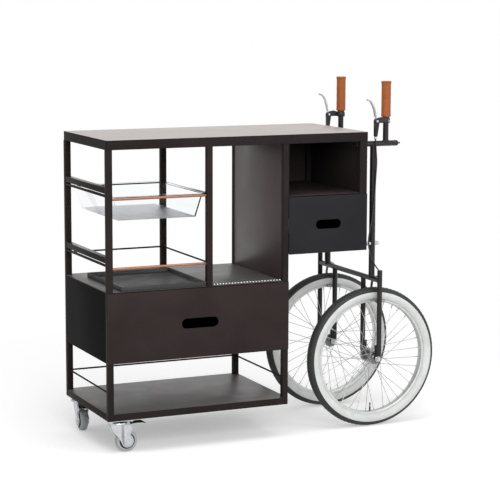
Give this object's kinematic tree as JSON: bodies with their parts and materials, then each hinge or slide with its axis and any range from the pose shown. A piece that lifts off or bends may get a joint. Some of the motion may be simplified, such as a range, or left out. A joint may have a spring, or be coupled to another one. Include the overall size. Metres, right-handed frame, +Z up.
{
  "type": "mobile bar unit",
  "caption": "Tube-framed mobile bar cart with worktop, bottle bays, open compartment, drawers, bottom shelf, braked casters and spoked wheels with rim brakes.",
  "frame": {"origin": "on the floor, under the middle of the whole cart", "axes": "+X along the cart towards the bicycle wheels and handles, -Y to the front with the drawers, +Z up"},
  "size_m": [1.2589, 0.485, 1.228],
  "materials": {
    "frame": "satin black powder coat",
    "panel": "satin black powder coat",
    "worktop": "light warm grey satin",
    "shelf": "mid warm grey satin",
    "tray": "matt black",
    "clear": "clear polycarbonate",
    "copper": "polished copper tube",
    "chrome": "bright beaded trim",
    "zinc": "bright zinc plated",
    "grip": "terracotta leather-look",
    "brake_black": "black enamel",
    "lever": "polished alloy",
    "cable": "black housing",
    "tyre": "black tread with whitewalls",
    "rim": "silver anodised",
    "hub": "silver",
    "spoke": "bright steel wire",
    "caster_tread": "light grey rubber",
    "pedal": "black"
  },
  "bodies": {
    "frame": {"front_posts": "frame", "back_posts": "frame", "base_rails": "frame", "shelf_plate": "shelf", "guard_rods": "frame", "housing_panels": "panel", "deck_rails": "frame", "deck_plate": "shelf", "slide_channels": "zinc", "copper_rails": "copper", "gallery_rods": "frame", "end_rails": "frame", "bottle_tub": "clear", "bottle_tray": "tray", "deck_trim": "chrome", "apron": "frame", "worktop": "worktop", "side_panel": "panel", "right_stiles": "frame", "right_wall": "panel", "cabinet_back": "panel", "cabinet_floors": "panel", "cross_bar": "frame", "fork_legs_front": "frame", "fork_legs_back": "frame", "stem_front": "frame", "stem_back": "frame", "wall_spacers": "zinc", "axles": "zinc", "grip_front": "grip", "grip_back": "grip", "lever_clamp_front": "brake_black", "lever_clamp_back": "brake_black", "cable_front": "cable", "cable_back": "cable", "caster_plates": "zinc"},
    "low_drawer": {"low_drawer_front": "panel", "low_drawer_box": "panel"},
    "small_drawer": {"small_drawer_front": "panel", "small_drawer_box": "panel"},
    "wheel_front": {"tyre_front": "tyre", "rim_front": "rim", "hub_front": "hub", "spokes_front": "spoke"},
    "wheel_back": {"tyre_back": "tyre", "rim_back": "rim", "hub_back": "hub", "spokes_back": "spoke"},
    "lever_front": {"lever_front": "lever"},
    "lever_back": {"lever_back": "lever"},
    "arm_front_out": {"arm_front_out": "brake_black"},
    "arm_front_in": {"arm_front_in": "brake_black"},
    "arm_back_out": {"arm_back_out": "brake_black"},
    "arm_back_in": {"arm_back_in": "brake_black"},
    "caster_front": {"caster_fork_front": "zinc"},
    "caster_back": {"caster_fork_back": "zinc"},
    "caster_roll_front": {"caster_wheel_front": "caster_tread"},
    "caster_roll_back": {"caster_wheel_back": "caster_tread"},
    "pedal_front": {"caster_pedal_front": "pedal"},
    "pedal_back": {"caster_pedal_back": "pedal"}
  },
  "joints": [
    {"name": "low_drawer_slide", "type": "slide", "parent": "frame", "child": "low_drawer", "axis": [0, -1, 0], "range_m": [0, 0.33]},
    {"name": "small_drawer_slide", "type": "slide", "parent": "frame", "child": "small_drawer", "axis": [0, -1, 0], "range_m": [0, 0.31]},
    {"name": "wheel_front_spin", "type": "hinge", "parent": "frame", "child": "wheel_front", "pos_m": [0.3795, -0.1725, 0.25], "axis": [0, 1, 0], "continuous": true},
    {"name": "wheel_back_spin", "type": "hinge", "parent": "frame", "child": "wheel_back", "pos_m": [0.3795, 0.1725, 0.25], "axis": [0, 1, 0], "continuous": true},
    {"name": "lever_front_squeeze", "type": "hinge", "parent": "frame", "child": "lever_front", "pos_m": [0.3845, -0.1865, 1.0895], "axis": [0, 1, 0], "range_deg": [0, 25], "stiffness_Nm_per_rad": 1.5, "springref_deg": -2.86},
    {"name": "arm_front_out_close", "type": "hinge", "parent": "frame", "child": "arm_front_out", "pos_m": [0.3975, -0.1725, 0.532], "axis": [1, 0, 0], "range_deg": [0, 1.3]},
    {"name": "arm_front_in_close", "type": "hinge", "parent": "frame", "child": "arm_front_in", "pos_m": [0.3975, -0.1725, 0.532], "axis": [-1, 0, 0], "range_deg": [0, 1.3]},
    {"name": "lever_back_squeeze", "type": "hinge", "parent": "frame", "child": "lever_back", "pos_m": [0.3845, 0.1865, 1.0895], "axis": [0, 1, 0], "range_deg": [0, 25], "stiffness_Nm_per_rad": 1.5, "springref_deg": -2.86},
    {"name": "arm_back_out_close", "type": "hinge", "parent": "frame", "child": "arm_back_out", "pos_m": [0.3975, 0.1725, 0.532], "axis": [-1, 0, 0], "range_deg": [0, 1.3]},
    {"name": "arm_back_in_close", "type": "hinge", "parent": "frame", "child": "arm_back_in", "pos_m": [0.3975, 0.1725, 0.532], "axis": [1, 0, 0], "range_deg": [0, 1.3]},
    {"name": "caster_front_swivel", "type": "hinge", "parent": "frame", "child": "caster_front", "pos_m": [-0.5785, -0.169, 0.104], "axis": [0, 0, 1], "continuous": true},
    {"name": "caster_front_roll", "type": "hinge", "parent": "caster_front", "child": "caster_roll_front", "pos_m": [-0.5495, -0.169, 0.0375], "axis": [0, 1, 0], "continuous": true},
    {"name": "pedal_front_press", "type": "hinge", "parent": "caster_front", "child": "pedal_front", "pos_m": [-0.5545, -0.169, 0.0935], "axis": [0, 1, 0], "range_deg": [0, 12]},
    {"name": "caster_back_swivel", "type": "hinge", "parent": "frame", "child": "caster_back", "pos_m": [-0.5875, 0.193, 0.104], "axis": [0, 0, 1], "continuous": true},
    {"name": "caster_back_roll", "type": "hinge", "parent": "caster_back", "child": "caster_roll_back", "pos_m": [-0.59003, 0.16411, 0.0375], "axis": [0.9962, -0.0872, 0], "continuous": true},
    {"name": "pedal_back_press", "type": "hinge", "parent": "caster_back", "child": "pedal_back", "pos_m": [-0.58959, 0.16909, 0.0935], "axis": [0.9962, -0.0872, 0], "range_deg": [0, 12]}
  ],
  "couplings": [
    {"joint": "arm_front_out_close", "follows": "lever_front_squeeze", "ratio": 0.052},
    {"joint": "arm_front_in_close", "follows": "lever_front_squeeze", "ratio": 0.052},
    {"joint": "arm_back_out_close", "follows": "lever_back_squeeze", "ratio": 0.052},
    {"joint": "arm_back_in_close", "follows": "lever_back_squeeze", "ratio": 0.052}
  ]
}
